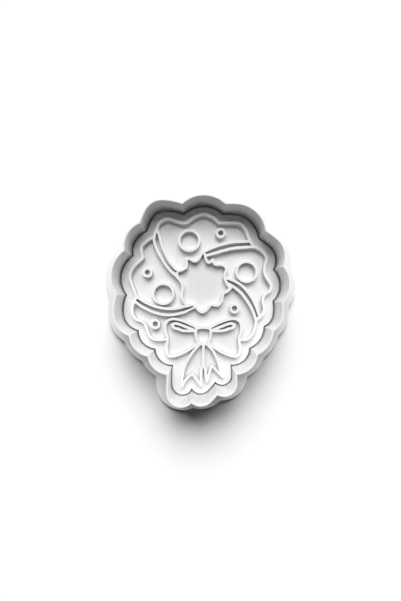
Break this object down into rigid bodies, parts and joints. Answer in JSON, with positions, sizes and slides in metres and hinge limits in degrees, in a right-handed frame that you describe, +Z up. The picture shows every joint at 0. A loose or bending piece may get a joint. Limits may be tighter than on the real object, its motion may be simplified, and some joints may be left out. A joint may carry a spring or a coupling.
{
  "type": "cookie cutter and stamp set",
  "caption": "Wreath-shaped cookie cutter with a scalloped blade on a flat flange, and a loose stamp plate inside it whose raised lines print baubles, ribbons and a bow on the dough.",
  "frame": {"origin": "middle of the flange's outline, on the table", "axes": "+Z up out of the table towards the cutting edge, +Y from the bow's ribbon ends to the crown of the wreath, +X to the right seen from above"},
  "size_m": [0.0846, 0.0976, 0.018],
  "materials": {
    "cutter_plastic": "matt white printed plastic with fine layer lines",
    "stamp_plastic": "matt white printed plastic with fine print lines"
  },
  "bodies": {
    "cutter": {"cutter": "cutter_plastic"},
    "stamp": {"stamp": "stamp_plastic"}
  },
  "joints": [
    {"name": "stamp_lift", "type": "slide", "parent": "cutter", "child": "stamp", "axis": [0, 0, 1], "range_m": [0, 0.02]}
  ]
}
